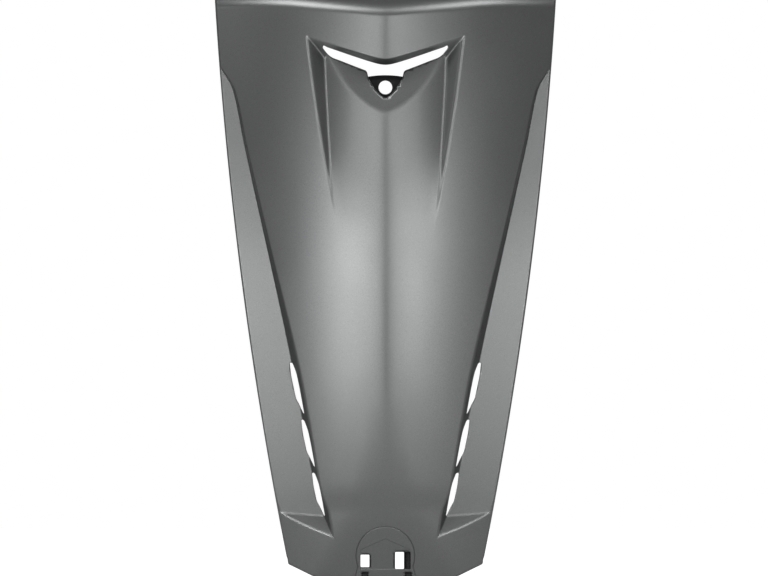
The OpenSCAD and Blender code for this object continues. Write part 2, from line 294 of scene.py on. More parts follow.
# Floor of the wing: an arc along the side edge
WING_MID_Z = (WING_START_Z + WING_Z) / 2.0 - WING_MID_DROP
WING_TILT = math.atan2(float(edge_x(WING_START_Z) - edge_x(WING_Z)), WING_START_Z - WING_Z)
WING_V1 = (WING_START_Z - WING_MID_Z) / math.cos(WING_TILT)
WING_V2 = (WING_START_Z - WING_Z) / math.cos(WING_TILT)
WING_Y = [float(face_y(edge_x(z), z)) for z in (WING_START_Z, WING_MID_Z, WING_Z)]
WING_RISE1 = (WING_Y[1] - WING_Y[0]) / WING_V1
WING_RISE2 = (WING_Y[2] - WING_Y[0]) / WING_V2
WING_CURVE = (WING_RISE2 - WING_RISE1) / (WING_V2 - WING_V1)
WING_FALL = WING_RISE1 - WING_CURVE * WING_V1
WING_R = 1.0 / (2.0 * WING_CURVE)
WING_V = -WING_FALL / (2.0 * WING_CURVE)
WING_FORE = (
    float(edge_x(WING_START_Z)) - WING_V * math.sin(WING_TILT),
    WING_Y[0] - WING_CURVE * WING_V ** 2,
    WING_START_Z - WING_V * math.cos(WING_TILT),
)


def wing_y(x, z):
    """Floor of the wing."""
    dx = x - WING_FORE[0]
    dz = z - WING_FORE[2]
    u = dx * math.cos(WING_TILT) - dz * math.sin(WING_TILT)
    v = dx * math.sin(WING_TILT) + dz * math.cos(WING_TILT)
    slope = WING_SLOPE - WING_TWIST * ramp01(z, *WING_TWIST_Z)
    return WING_FORE[1] + slope * u + sag(WING_R, v)


def run_angles(a, b):
    """Sideways and backward angle of the line from a up to b, in degrees."""
    d = [b[i] - a[i] for i in range(3)]
    return math.degrees(math.atan(d[0] / d[2])), math.degrees(math.atan(d[1] / math.hypot(d[0], d[2])))


# Wall, bend and ramp of the wing
WING_FOOT = (WING_FOOT_X, float(wing_y(WING_FOOT_X, WING_Z)), WING_Z)
WING_TOP = (WING_TOP_X, float(wing_y(WING_TOP_X, WING_TOP_Z)), WING_TOP_Z)
WING_SIDE, WING_BACK = run_angles(WING_FOOT, WING_TOP)
WING_SIDE_TAN = math.tan(math.radians(WING_SIDE))
WING_BEND_X = WING_FOOT_X + (WING_BEND_Z - WING_Z) * WING_SIDE_TAN
WING_BEND = (WING_BEND_X, float(wing_y(WING_BEND_X, WING_BEND_Z)), WING_BEND_Z)
WING_WALL_N = turned((1.0, 0.0, 0.0), -WING_LEAN, WING_BACK, WING_SIDE)
WING_WALL_TOP_N = turned((1.0, 0.0, 0.0), -WING_STEEP, WING_BACK, WING_SIDE)
WING_BEND_N = turned((1.0, 0.0, 0.0), -WING_STEEP, WING_BACK, WING_TURN)
RAMP_N = (0.0, -math.sin(math.radians(RAMP)), math.cos(math.radians(RAMP)))

# Wall of the scoop, through its tip and its top corner
SCOOP_CORNER_Z = BROW_Z + SCOOP_X * math.tan(BROW_RISE)
SCOOP_TIP = (SCOOP_TIP_X, float(face_y(SCOOP_TIP_X, SCOOP_Z)), SCOOP_Z)
SCOOP_TOP = (SCOOP_X, float(face_y(SCOOP_X, SCOOP_CORNER_Z)), SCOOP_CORNER_Z)
SCOOP_SIDE, SCOOP_BACK = run_angles(SCOOP_TIP, SCOOP_TOP)
SCOOP_N = turned((-1.0, 0.0, 0.0), SCOOP_LEAN, SCOOP_BACK, SCOOP_SIDE)

# Arc of the chin, which leaves the face with a small turn
CHIN_SLOPE = math.asin((-CHIN_Z - SIDE_MID) / SIDE_R) + CHIN_TURN
CHIN_CY = float(face_y(0.0, CHIN_Z)) + CHIN_R * math.cos(CHIN_SLOPE)
CHIN_CZ = CHIN_Z + CHIN_R * math.sin(CHIN_SLOPE)


def chin_y(z, o=0.0):
    """The chin's arc, o deeper."""
    r = CHIN_R - o
    return CHIN_CY - np.sqrt(r * r - (z - CHIN_CZ) ** 2)


SEAT_Y = float(chin_y(SEAT_Z))


def floor_y(x, z, o=0.0):
    """Floor of the scoop."""
    share_bent = ramp01(z, SCOOP_Z, SCOOP_Z + SCOOP_BEND_LEN)
    bend = SCOOP_BEND / 2.0 * share_bent * np.maximum(x - SCOOP_BEND_X, 0.0) ** 2
    return face_y(x, z, o) + (z - SCOOP_Z) * math.tan(SCOOP_TILT) + bend


def crest_z(x):
    """Height of the crest's line."""
    return soft_min(CREST_LOW + CREST_SLOPE * soft_v(x, CREST_SOFT), CREST_HIGH, CREST_LEVEL)


def slit_top(x):
    """Height of the opening's upper edge."""
    return SLIT_BASE + SLIT_RISE * soft_v(x, SLIT_SOFT)


def brow_edge(x):
    """Height of the brow's front edge."""
    return BROW_BASE + BROW_SLOPE * soft_v(x, BROW_SOFT)


def roll(d, r):
    """Depth of a rounded edge of radius r at the distance d inside it."""
    inside = np.clip(r - d, 0.0, r)
    return np.where(d < 0.0, r - d * STEEP, r - np.sqrt(np.maximum(r * r - inside * inside, 0.0)))


def brow_y(x, z, o):
    """Underside of the brow."""
    depth = BROW_DEPTH[0] + (BROW_DEPTH[1] - BROW_DEPTH[0]) * ramp01(x, *BROW_CHANGE_X)
    brow = face_y(x, z, o) + (brow_edge(x) - z) * depth + lean_gap(o, depth)
    under = np.maximum(slit_top(x) - UNDER_DROP - z, 0.0)
    return brow + under * UNDER_DEPTH * np.clip((BROW_END_X - x) / BROW_END_LEN, 0.0, 1.0)


def scoop_field(x, z, o):
    """Room of the scoop with its brow, and how far its edge is rounded."""
    wall = plane_y(x, z, SCOOP_TIP, SCOOP_N, o)
    floor = floor_y(x, z, o)
    dip = math.tan(BOWL_DIP)
    bowl = floor - loop_gap(x, z, BOWL, BOWL_NEAR) * dip + lean_gap(o, dip)
    low = soft_max(floor, bowl, BOWL_SOFT)
    brow = brow_y(x, z, o)
    sides = soft_min(wall, brow, SCOOP_CORNER)
    room = soft_min(sides, low, SCOOP_FILLET)
    on_low = share(sides, low, 2.0 * FADE)
    on_brow = share(wall, brow, FADE)
    return room, SCOOP_EDGE - SCOOP_EDGE_BROW * on_brow + SCOOP_EDGE_LOW * on_low


def wing_field(x, z, o):
    """Room of the wing, and how far its edge is rounded."""
    high = ramp01(z, *WING_STEEP_Z)
    wx = x + WING_BULGE * np.exp(-((z - WING_BULGE_Z) / WING_BULGE_LEN) ** 2)
    low_wall = plane_y(wx, z, WING_FOOT, WING_WALL_N, o)
    high_wall = plane_y(wx, z, WING_FOOT, WING_WALL_TOP_N, o)
    bend = plane_y(wx, z, WING_BEND, WING_BEND_N, o)
    wall = soft_min(low_wall + (high_wall - low_wall) * high, bend, WING_BEND_R)
    ramp = plane_y(x, z, WING_FOOT, RAMP_N, o)
    floor = wing_y(x, z) + o
    room = soft_min(soft_min(floor, wall, WING_FILLET), ramp, RAMP_FILLET)
    on_wall = share(floor, wall, FADE) * share(ramp, wall, FADE)
    on_ramp = share(floor, ramp, FADE)
    edge = WING_EDGE + (WING_EDGE_WALL - WING_EDGE_HIGH * high) * on_wall + WING_EDGE_RAMP * on_ramp
    return room, edge


def outer_y(x, z, o=0.0):
    """The body without its scoop."""
    soft = CREASE_R + (CREASE_END - CREASE_R) * ramp01(-z, -CREASE_FADE[0], -CREASE_FADE[1])
    x = soft_v(x, soft)
    y = face_y(x, z, o)
    room, edge = wing_field(x, z, o)
    top = y + (z - crest_z(x)) * CREST_BACK + lean_gap(o, CREST_BACK)
    y = soft_max(y, room, edge)
    y = soft_max(y, top, CREST_EDGE)
    chin = np.where(z < CHIN_Z + CHIN_CLEAR, chin_y(z, o), -FAR)
    return soft_max(y, chin, CHIN_EDGE)


def body_y(x, z, o=0.0):
    """The whole body."""
    y = outer_y(x, z, o)
    room, edge = scoop_field(soft_v(x, CREASE_R), z, o)
    return soft_max(y, room, edge)


# Outlines in the front view
MOST_CUT = 0.45
TURN_STEPS = (0.0, 0.25, 0.5, 0.75, 1.0)


def rounded(points, radius, closed=True):
    """The outline with each corner cut back by radius and turned in a short curve."""
    p = np.array(points, float)
    n = len(p)
    out = []
    for i in range(n):
        if not closed and i in (0, n - 1):
            out.append(p[i])
            continue
        a, b, c = p[i - 1], p[i], p[(i + 1) % n]
        r = radius[i] if isinstance(radius, (list, tuple)) else radius
        la, lc = np.linalg.norm(a - b), np.linalg.norm(c - b)
        cut = min(r, la * MOST_CUT, lc * MOST_CUT)
        pa, pc = b + (a - b) / la * cut, b + (c - b) / lc * cut
        for s in TURN_STEPS:
            out.append((1 - s) ** 2 * pa + 2 * s * (1 - s) * b + s * s * pc)
    return np.array(out)


def resampled(points, step, closed=True):
    """The outline with no side longer than step."""
    p = np.array(points, float)
    q = np.roll(p, -1, axis=0) if closed else p[1:]
    out = []
    for a, b in zip(p, q):
        count = max(1, math.ceil(np.linalg.norm(b - a) / step))
        for s in range(count):
            out.append(a + (b - a) * s / count)
    if not closed:
        out.append(p[-1])
    return np.array(out)


def mirrored(points):
    """The outline mirrored to the other side and run backwards."""
    return np.array(points)[::-1] * (-1.0, 1.0)


def inside(points, loop):
    """Which points lie in a closed outline."""
    x, z = points[:, 0], points[:, 1]
    hit = np.zeros(len(points), bool)
    near = (
        (x > loop[:, 0].min()) & (x < loop[:, 0].max()) & (z > loop[:, 1].min()) & (z < loop[:, 1].max())
    )
    x, z = x[near], z[near]
    flag = np.zeros(len(x), bool)
    for (ax, az), (bx, bz) in zip(loop, np.roll(loop, -1, axis=0)):
        if az == bz:
            continue
        cross = (az > z) != (bz > z)
        flag ^= cross & (x < (bx - ax) * (z - az) / (bz - az) + ax)
    hit[near] = flag
    return hit


def loop_gap(x, z, loop, reach=6.0):
    """Distance from each place to a closed outline, negative inside it, and far off beyond reach."""
    shape = np.shape(x)
    p = np.stack([np.ravel(x), np.ravel(z)], 1)
    out = np.full(len(p), FAR)
    low, high = loop.min(0) - reach, loop.max(0) + reach
    near = np.all((p > low) & (p < high), 1)
    q = p[near]
    if len(q):
        best = np.full(len(q), FAR)
        for a, b in zip(loop, np.roll(loop, -1, axis=0)):
            d = b - a
            t = np.clip(((q - a) @ d) / max(d @ d, TINY), 0.0, 1.0)
            best = np.minimum(best, np.hypot(*(q - a - t[:, None] * d).T))
        out[near] = np.where(inside(q, loop), -best, best)
    return out.reshape(shape)


def from_middle(right):
    """Both halves of an outline whose right half starts in the middle."""
    return np.concatenate([np.array(right), mirrored(right)[:-1]])


def to_middle(right):
    """Both halves of an outline whose right half ends in the middle."""
    return np.concatenate([np.array(right), mirrored(right)[1:]])


# Outline of the panel: the right side downwards, the foot, the left side upwards and the top
SIDE_POINTS = 280
FOOT_REACH = 7.0
FOOT_START = (0.6, 6.0)
OUTLINE_STEP = 2.0
side_z = np.linspace(TOP_Z, CORNER_Z, SIDE_POINTS)
side = np.stack([edge_x(side_z), side_z], 1)
foot = [
    (FOOT_W / 2 + FOOT_START[0], CORNER_Z + FOOT_START[1]), (FOOT_W / 2, CORNER_Z), (FOOT_FLAT, FOOT_Z),
    (0.0, FOOT_Z),
]
foot = resampled(rounded(foot, FOOT_CORNER_R, False), OUTLINE_STEP, False)[1:-1]
right_side = np.concatenate([side[side[:, 1] > CORNER_Z + FOOT_REACH], foot])
top_edge = resampled([(-PANEL_W / 2, TOP_Z), (PANEL_W / 2, TOP_Z)], OUTLINE_STEP, False)[1:-1]
OUTLINE = np.concatenate([right_side, [(0.0, FOOT_Z)], mirrored(right_side), top_edge])

BOWL = resampled(rounded(from_middle(BOWL_EDGE), BOWL_TURN), BOWL_STEP)

# The opening, from the middle of its upper edge round its right half
HOLE_STEP = 0.8
SLIT_POINTS = 60
ARCH_POINTS = 33
slit_xs = np.linspace(0.0, SLIT_END_X, SLIT_POINTS)
slit_upper = np.stack([slit_xs, slit_top(slit_xs)], 1)
slit_side = [
    (SLIT_END_X, float(slit_top(SLIT_END_X))), (58.9, 39.9), (59.4, 37.4), (56.6, 33.6), (53.2, 30.0),
    (49.7, 27.8), (42.0, 25.0), (30.9, 20.6), (18.6, 15.9), (17.4, 14.4), (NOTCH_X, NOTCH_Z),
]
slit_turns = [0, 1.4, 1.4, 2.0, 2.0, 3.0, 4.0, 4.0, 0.8, 0.8, 0]
slit_side = resampled(rounded(slit_side, slit_turns, False), HOLE_STEP, False)
slit_right = np.concatenate([slit_upper[:-1], slit_side])
slit_left = mirrored(slit_right)[:-1]
arc_x = np.linspace(NOTCH_X, -NOTCH_X, ARCH_POINTS)
slit_arc = np.stack([arc_x, NOTCH_Z + NOTCH_ARCH * (1.0 - (arc_x / NOTCH_X) ** 2)], 1)

# The pocket round the screw tab, its outline behind, and the screw hole
POCKET_R = 1.6
TAB_BACK_R = 1.0
pocket = [(NOTCH_X, NOTCH_Z), (16.1, 9.0), (14.0, 5.4), (9.3, -2.2), (3.4, -8.6), (0.0, -10.2)]
pocket = resampled(rounded(to_middle(pocket), POCKET_R, False), HOLE_STEP, False)
tab_back = [(NOTCH_X + WALL, 14.0), (NOTCH_X + WALL, 8.6), (11.4, -4.2), (5.0, -11.0), (0.0, -13.4)]
tab_back = resampled(rounded(to_middle(tab_back), TAB_BACK_R), HOLE_STEP)
turn = np.linspace(0.0, 2.0 * math.pi, SCREW_SIDES + 1)[:-1]
SCREW = np.stack([SCREW_R * np.cos(turn), SCREW_R * np.sin(turn)], 1)
slit_loop = np.concatenate([slit_right, slit_arc[1:-1], slit_left])
front_hole = np.concatenate([slit_right, pocket[1:-1], slit_left])

# Slots and the clip seat
SLOT_STEP = 1.2
SLOT_TURNS = [0.6, 0.6, 1.5, 4.0, 3.0, 2.0, 0.5, 0.3, 1.5, 6.0, 5.0, 0.8]


def slot_length(i):
    return SLOT_LEN - i * SLOT_LESS


def slot_loop(i, sign):
    """Slot i in the foot of the wing's wall, from its distances inside that edge and below its top."""
    length = slot_length(i)
    below = sum(slot_length(j) + SLOT_GAP for j in range(i + 1, SLOTS_A_SIDE))
    top = WING_Z + SLOT_UP + length + below
    shape = [
        (2.9, 0.0), (1.7, 0.6), (1.4, 3.5), (0.6, 12.4), (0.8, length - 14.0), (2.7, length - 9.0),
        (4.8, length - 1.1), (5.6, length), (5.8, length - 5.0), (6.2, 22.0), (6.0, 9.5), (4.3, 1.0),
    ]
    points = []
    for gap, down in shape:
        z = top - down
        points.append(((WING_FOOT_X + (z - WING_Z) * WING_SIDE_TAN - gap) * sign, z))
    return resampled(rounded(points, SLOT_TURNS), SLOT_STEP)


def box_loop(x, z, w, h, grow=0.0, r=1.0):
    a, b = w / 2.0 + grow, h / 2.0 + grow
    corners = [(x - a, z - b), (x + a, z - b), (x + a, z + b), (x - a, z + b)]
    return resampled(rounded(corners, r + grow), HOLE_STEP)


SLOTS = [slot_loop(i, s) for s in (1, -1) for i in range(SLOTS_A_SIDE)]
CLIPS = [box_loop(*CLIP_L), box_loop(*CLIP_R)]
SLEEVES = [box_loop(*c, grow=SLEEVE_T) for c in (CLIP_L, CLIP_R)]
BLIND_LOOPS = [box_loop(*b, r=BLIND_R) for b in BLIND]
BLIND_BACKS = [box_loop(*b, grow=SLEEVE_T, r=BLIND_R) for b in BLIND]
HOUSE = [
    (-HOUSE_X, SEAT_Z - HOUSE_DOWN), (HOUSE_X, SEAT_Z - HOUSE_DOWN), (HOUSE_X, SEAT_Z + HOUSE_EAVE),
    (0.0, SEAT_Z + HOUSE_RIDGE), (-HOUSE_X, SEAT_Z + HOUSE_EAVE),
]
HOUSE = resampled(rounded(HOUSE, HOUSE_TURN), HOUSE_STEP)
NECK_X = math.sqrt(SEAT_R ** 2 - SEAT_NECK ** 2)
NECK_Z = SEAT_Z - SEAT_NECK


def leg_x(z):
    """Where the groove's right leg stands at that height."""
    return NECK_X + (NECK_Z - z) * LEG_OUT / (NECK_Z - FOOT_Z)


def edge_roll(gap):
    """Depth of a hole's rounded edge at that distance outside the hole."""
    return np.where(gap < HOLE_R, roll(np.maximum(gap, 0.0), HOLE_R), 0.0)


def line_gap(x, z):
    """Distance to the round groove of the clip seat and its two legs."""
    ring = np.abs(np.hypot(x, z - SEAT_Z) - SEAT_R)
    ring = np.where(z > NECK_Z, ring, FAR)
    leg = np.where(z <= NECK_Z + LEG_OVER, np.abs(np.abs(x) - leg_x(z)), FAR)
    return np.minimum(ring, leg)


def seat_front(x, z, y):
    """The foot of the face with its cut, groove and pockets, and the edges of the clip holes."""
    cut_in = chin_y(z) + HOUSE_D * ramp01(-loop_gap(x, z, HOUSE), *HOUSE_EDGE)
    y = np.maximum(y, cut_in) + LINE_D * np.exp(-(line_gap(x, z) / LINE_W) ** 2)
    for loop in BLIND_LOOPS:
        y = np.where(loop_gap(x, z, loop) < 0.0, SEAT_Y + POCKET_D, y)
    for loop in CLIPS:
        gap = loop_gap(x, z, loop)
        y = y + np.where(gap < HOLE_R, roll(gap, HOLE_R), 0.0)
    return y


def front_y(x, z):
    """The finished front, with its rounded edges."""
    y = body_y(x, z) + roll(edge_gap(x, z), EDGE_R) + roll(TOP_Z - z, TOP_R)
    seat = (z < SEAT_Z + SEAT_TOP) & (np.abs(x) < SEAT_REACH)
    if np.any(seat):
        y = np.where(seat, seat_front(x, z, y), y)
    for loop in SLOTS:
        y = y + edge_roll(loop_gap(x, z, loop))
    return y + np.where(z < slit_top(x) - UNDER_LIP, edge_roll(loop_gap(x, z, front_hole)), 0.0)


def back_y(x, z):
    """The finished back, with its rim, sleeves and the back of the tab."""
    y = body_y(x, z, WALL)
    y = np.where(edge_gap(x, z) < WALL, outer_y(x, z, RIM), y)
    y = np.minimum(y, REAR_Y)
    for loop in SLEEVES:
        y = np.where(loop_gap(x, z, loop) < 0.0, SEAT_Y + WALL + SLEEVE_D, y)
    for loop in BLIND_BACKS:
        y = np.where(loop_gap(x, z, loop) < 0.0, np.maximum(y, SEAT_Y + POCKET_D + SLEEVE_T), y)
    return np.where(loop_gap(x, z, tab_back) < 0.0, TAB_T, y)


def tab_y(x, z):
    """Front of the tab, with its upper lip leaning back."""
    return np.clip((z - SCREW_R + LIP_START) * LIP_SLOPE, 0.0, LIP_BACK)


# Places on the surfaces, and triangles between them
SAME_PLACE = 1e-6
PLACE_DIGITS = 4
SLOPE_STEP = 0.06


def slopes(field, x, z):
    """The surface's slopes across and upwards at each place."""
    h = SLOPE_STEP
    return (field(x + h, z) - field(x - h, z)) / (2 * h), (field(x, z + h) - field(x, z - h)) / (2 * h)


def grid(step):
    """A square grid over the whole panel."""
    half = math.ceil(PANEL_W / 2 / step)
    xs = np.arange(-half, half + 1) * step
    zs = np.arange(math.floor(FOOT_Z / step), math.ceil(TOP_Z / step) + 1) * step
    return np.meshgrid(xs, zs)


def spread(field, levels):
    """Places in the front view, closer together where the surface bends more."""
    out = []
    keep = None
    for n, (step, limit) in enumerate(levels):
        x, z = grid(step)
        use = np.ones(x.shape, bool)
        if n:
            rows = np.clip(np.rint((z - kz[0, 0]) / kstep).astype(int), 0, keep.shape[0] - 1)
            cols = np.clip(np.rint((x - kx[0, 0]) / kstep).astype(int), 0, keep.shape[1] - 1)
            use = keep[rows, cols]
        out.append(np.stack([x[use], z[use]], 1))
        if limit is None:
            break
        y = field(x, z)
        h = step / 2.0
        bend = np.maximum(
            np.abs(field(x + h, z) + field(x - h, z) - 2 * y),
            np.abs(field(x, z + h) + field(x, z - h) - 2 * y),
        )
        bend = np.maximum(bend, np.abs(field(x + h, z + h) + field(x - h, z - h) - 2 * y))
        flag = (bend > limit) & use
        keep = flag.copy()
        for dr in (-1, 0, 1):
            for dc in (-1, 0, 1):
                keep |= np.roll(np.roll(flag, dr, 0), dc, 1)
        kx, kz, kstep = x, z, step
    return np.unique(np.round(np.concatenate(out), PLACE_DIGITS), axis=0)


def triangles(loops, extra, clear):
    """Triangles inside the first outline and outside the others: all the places and the corner numbers."""
    loops = [np.float32(loop).astype(float) for loop in loops]
    holes = loops[1:]
    ring = np.concatenate(loops)
    tree = kdtree.KDTree(len(ring))
    for i, (x, z) in enumerate(ring):
        tree.insert((x, z, 0.0), i)
    tree.balance()
    extra = extra[inside(extra, loops[0])]
    extra = extra[np.array([tree.find((x, z, 0.0))[2] > clear for x, z in extra], bool)]
    for hole in holes:
        extra = extra[~inside(extra, hole)]
    places = np.concatenate([ring, np.float32(extra).astype(float)])
    edges = []
    start = 0
    for loop in loops:
        n = len(loop)
        edges += [(start + i, start + (i + 1) % n) for i in range(n)]
        start += n
    result = delaunay_2d_cdt([Vector(p) for p in places.tolist()], edges, [], 1, SAME_PLACE, False)
    if len(result[0]) != len(places):
        raise RuntimeError("outlines cross")
    tris = np.array([f[:] for f in result[2]])
    middle = places[tris].mean(1)
    use = inside(middle, loops[0])
    for hole in holes:
        use &= ~inside(middle, hole)
    tris = tris[use]
    a, b, c = places[tris[:, 0]], places[tris[:, 1]], places[tris[:, 2]]
    area = (b[:, 0] - a[:, 0]) * (c[:, 1] - a[:, 1]) - (b[:, 1] - a[:, 1]) * (c[:, 0] - a[:, 0])
    tris[area < 0] = tris[area < 0][:, ::-1]
    return places, tris


def rails(loop, gap):
    """Two rows of places just inside and outside a closed outline."""
    d = np.roll(loop, -1, axis=0) - np.roll(loop, 1, axis=0)
    d /= np.linalg.norm(d, axis=1)[:, None]
    n = np.stack([d[:, 1], -d[:, 0]], 1)
    return np.concatenate([loop + n * gap, loop - n * gap])


verts = []
faces = []
normals = []
kinds = []
PAINT, BARE = 0, 1


def add_patch(places, tris, field, kind, back=False, bare=()):
    """A surface over triangles in the front view, bare in some outlines: returns its first corner number."""
    base = len(verts)
    dark = np.zeros(len(tris), bool)
    for loop in bare:
        dark |= inside(places[tris].mean(1), loop)
    x, z = places[:, 0], places[:, 1]
    y = field(x, z)
    sx, sz = slopes(field, x, z)
    n = np.stack([sx, -np.ones_like(sx), sz], 1)
    n /= np.linalg.norm(n, axis=1)[:, None]
    if back:
        n = -n
        tris = tris[:, ::-1]
    verts.extend(np.stack([x, y, z], 1).tolist())
    for t, d in zip(tris.tolist(), dark):
        faces.append([base + i for i in t])
        normals.append([n[i] for i in t])
        kinds.append(BARE if d else kind)
    return base


def add_wall(ids, kind):
    """A flat face through four or more corners, which looks the way its corners turn."""
    p = np.array([verts[i] for i in ids])
    n = np.zeros(3)
    for a, b in zip(p, np.roll(p, -1, axis=0)):
        n += np.cross(a, b)
    n /= max(np.linalg.norm(n), TINY)
    faces.append(list(ids))
    normals.append([n] * len(ids))
    kinds.append(kind)


def add_strip(front, back, kind, closed=True):
    """Flat faces between two rows of corners."""
    n = len(front)
    for i in range(n if closed else n - 1):
        j = (i + 1) % n
        add_wall([front[i], front[j], back[j], back[i]], kind)


# Front surface
CLEAR = 0.35
RAIL = 0.05
FRONT_LEVELS = [(3.0, 0.055), (1.5, 0.045), (0.75, None)]
BROW_ROWS = (-0.9, -0.4, 0.0, 0.4, 0.9)
BROW_HALF = 75.0
BROW_POINTS = 150
LINE_ROWS = (-0.9, -0.45, -0.2, 0.0, 0.2, 0.45, 0.9)
RING_POINTS = 130
LEG_POINTS = 24
LEG_END = 1.0
HOUSE_RAILS = (0.25, 0.75)


def brow_rows():
    """Rows of places along the brow's edge."""
    x = np.linspace(-BROW_HALF, BROW_HALF, BROW_POINTS)
    return [np.stack([x, brow_edge(x) + t], 1) for t in BROW_ROWS]


def line_rows():
    """Rows of places along the round groove and its legs."""
    rows = []
    start = -math.asin(SEAT_NECK / SEAT_R)
    a = np.linspace(start, math.pi - start, RING_POINTS)
    z = np.linspace(NECK_Z - LEG_END, FOOT_Z + LEG_END, LEG_POINTS)
    for off in LINE_ROWS:
        r = SEAT_R + off
        rows.append(np.stack([r * np.cos(a), SEAT_Z + r * np.sin(a)], 1))
        rows += [np.stack([(leg_x(z) + off) * sign, z], 1) for sign in (1.0, -1.0)]
    return rows


def plain_front(x, z):
    return body_y(x, z) + roll(edge_gap(x, z), EDGE_R)


front_loops = [OUTLINE, front_hole] + SLOTS + CLIPS
front_extra = [spread(plain_front, FRONT_LEVELS)] + brow_rows() + line_rows()
front_extra += [rails(loop, RAIL) for loop in BLIND_LOOPS] + [rails(HOUSE, gap) for gap in HOUSE_RAILS]
front_places, front_tris = triangles(front_loops, np.concatenate(front_extra), CLEAR)
front_base = add_patch(front_places, front_tris, front_y, PAINT, bare=BLIND_LOOPS)

# Back surface
BACK_LEVELS = [(5.0, 0.25), (2.5, 0.25), (1.25, None)]
RIM_TOP = 0.1


def rim_rows():
    """Two rows of places along the inner side of the rim."""
    row = OUTLINE[OUTLINE[:, 1] < TOP_Z - RIM_TOP]
    d = np.gradient(row, axis=0)
    d /= np.linalg.norm(d, axis=1)[:, None]
    inward = np.stack([d[:, 1], -d[:, 0]], 1)
    return [row + inward * (WALL + s) for s in (-RAIL, RAIL)]


def plain_back(x, z):
    return body_y(x, z, WALL)


back_loops = [OUTLINE, slit_loop, SCREW] + SLOTS + CLIPS
back_extra = [spread(plain_back, BACK_LEVELS)] + rim_rows()
back_extra += [rails(loop, RAIL) for loop in SLEEVES + BLIND_BACKS + [tab_back]]
back_places, back_tris = triangles(back_loops, np.concatenate(back_extra), CLEAR)
back_base = add_patch(back_places, back_tris, back_y, BARE, back=True)

# Front of the screw tab
TAB_STEP = 2.0
TAB_CLEAR = 0.8
tab_loop = np.concatenate([pocket, slit_arc[::-1][1:-1]])
tab_extra = np.stack([g.ravel() for g in grid(TAB_STEP)], 1)
tab_places, tab_tris = triangles([tab_loop, SCREW], tab_extra, TAB_CLEAR)
tab_base = add_patch(tab_places, tab_tris, tab_y, BARE)


# Walls between the front and the back
def starts(base, loops):
    """The corner numbers of each outline, which come one outline after another."""
    out = []
    for loop in loops:
        out.append([base + i for i in range(len(loop))])
        base += len(loop)
    return out


front_ids = starts(front_base, front_loops)
back_ids = starts(back_base, back_loops)
tab_ids = starts(tab_base, [tab_loop, SCREW])


def faces_out(loop):
    """True where the outline runs clockwise as seen from the front."""
    x, z = loop[:, 0], loop[:, 1]
    return (x * np.roll(z, -1) - np.roll(x, -1) * z).sum() < 0


def join(front, back, loop, kind, outer=False):
    """The wall between two rows of corners that stand on the same closed outline."""
    if faces_out(loop) == outer:
        add_strip(front, back, kind)
    else:
        add_strip(front[::-1], back[::-1], kind)


join(front_ids[0], back_ids[0], OUTLINE, PAINT, True)
for front, back, loop in zip(front_ids[2:], back_ids[3:], SLOTS + CLIPS):
    join(front, back, loop, BARE)
join(tab_ids[1], back_ids[2], SCREW, BARE)

# Walls of the opening: the part above the tab, the pocket, and the upper edge of the tab
right_n = len(slit_right)
arc_n = len(slit_arc) - 2
chain_n = len(pocket) - 2
front_s = front_ids[1]
back_s = back_ids[1]
front_chain = front_s[right_n + chain_n:] + front_s[:right_n]
back_chain = back_s[right_n + arc_n:] + back_s[:right_n]
clockwise = faces_out(front_hole)
front_pocket = front_s[right_n - 1:right_n + chain_n + 1]
tab_pocket = tab_ids[0][:len(pocket)]
tab_arc = [tab_ids[0][0]] + tab_ids[0][len(pocket):][::-1] + [tab_ids[0][len(pocket) - 1]]
back_arc = back_s[right_n - 1:right_n + arc_n + 1]


def open_strip(front, back, kind):
    """The wall between two rows of corners that have ends."""
    if clockwise:
        front, back = front[::-1], back[::-1]
    add_strip(front, back, kind, closed=False)


open_strip(front_chain[1:-1], back_chain[1:-1], PAINT)
ends = [
    [front_chain[-2], front_chain[-1], tab_pocket[0], back_chain[-1], back_chain[-2]],
    [front_chain[0], front_chain[1], back_chain[1], back_chain[0], tab_pocket[-1]],
]
for ids in ends:
    add_wall(ids[::-1] if clockwise else ids, PAINT)
open_strip(front_pocket, tab_pocket, PAINT)
open_strip(tab_arc, back_arc, BARE)

mesh = bpy.data.meshes.new("front_panel_skin")
mesh.from_pydata([(x * MM, y * MM, z * MM) for x, y, z in verts], [], faces)
mesh.polygons.foreach_set("material_index", kinds)
mesh.polygons.foreach_set("use_smooth", [True] * len(kinds))
mesh.update()
mesh.normals_split_custom_set([tuple(n) for n in np.array([n for face in normals for n in face]).tolist()])
panel = bpy.data.objects.new("front_panel_skin", mesh)
bpy.context.scene.collection.objects.link(panel)
print("panel", len(mesh.vertices), "verts", sum(len(face) - 2 for face in faces), "triangles")


# Materials, in the order of the numbers PAINT and BARE
NOISE_SPAN = (0.3, 0.7)
GRAIN_D = 0.0002


def node_material(name):
    material = bpy.data.materials.new(name)
    material.use_nodes = True
    tree = material.node_tree
    return material, tree, tree.nodes["Principled BSDF"]


def noise(tree, place, scale, detail, rough=0.5):
    node = tree.nodes.new("ShaderNodeTexNoise")
    node.inputs["Scale"].default_value = scale
    node.inputs["Detail"].default_value = detail
    node.inputs["Roughness"].default_value = rough
    tree.links.new(place.outputs["Object"], node.inputs["Vector"])
    return node.outputs["Fac"]


def ranged(tree, source, low, high):
    node = tree.nodes.new("ShaderNodeMapRange")
    node.inputs["From Min"].default_value = NOISE_SPAN[0]
    node.inputs["From Max"].default_value = NOISE_SPAN[1]
    node.inputs["To Min"].default_value = low
    node.inputs["To Max"].default_value = high
    tree.links.new(source, node.inputs["Value"])
    return node.outputs["Result"]


def mixed(tree, factor, a, b):
    node = tree.nodes.new("ShaderNodeMix")
    node.data_type = "RGBA"
    node.inputs["A"].default_value = (*a, 1.0)
    node.inputs["B"].default_value = (*b, 1.0)
    tree.links.new(factor, node.inputs["Factor"])
    return node.outputs["Result"]


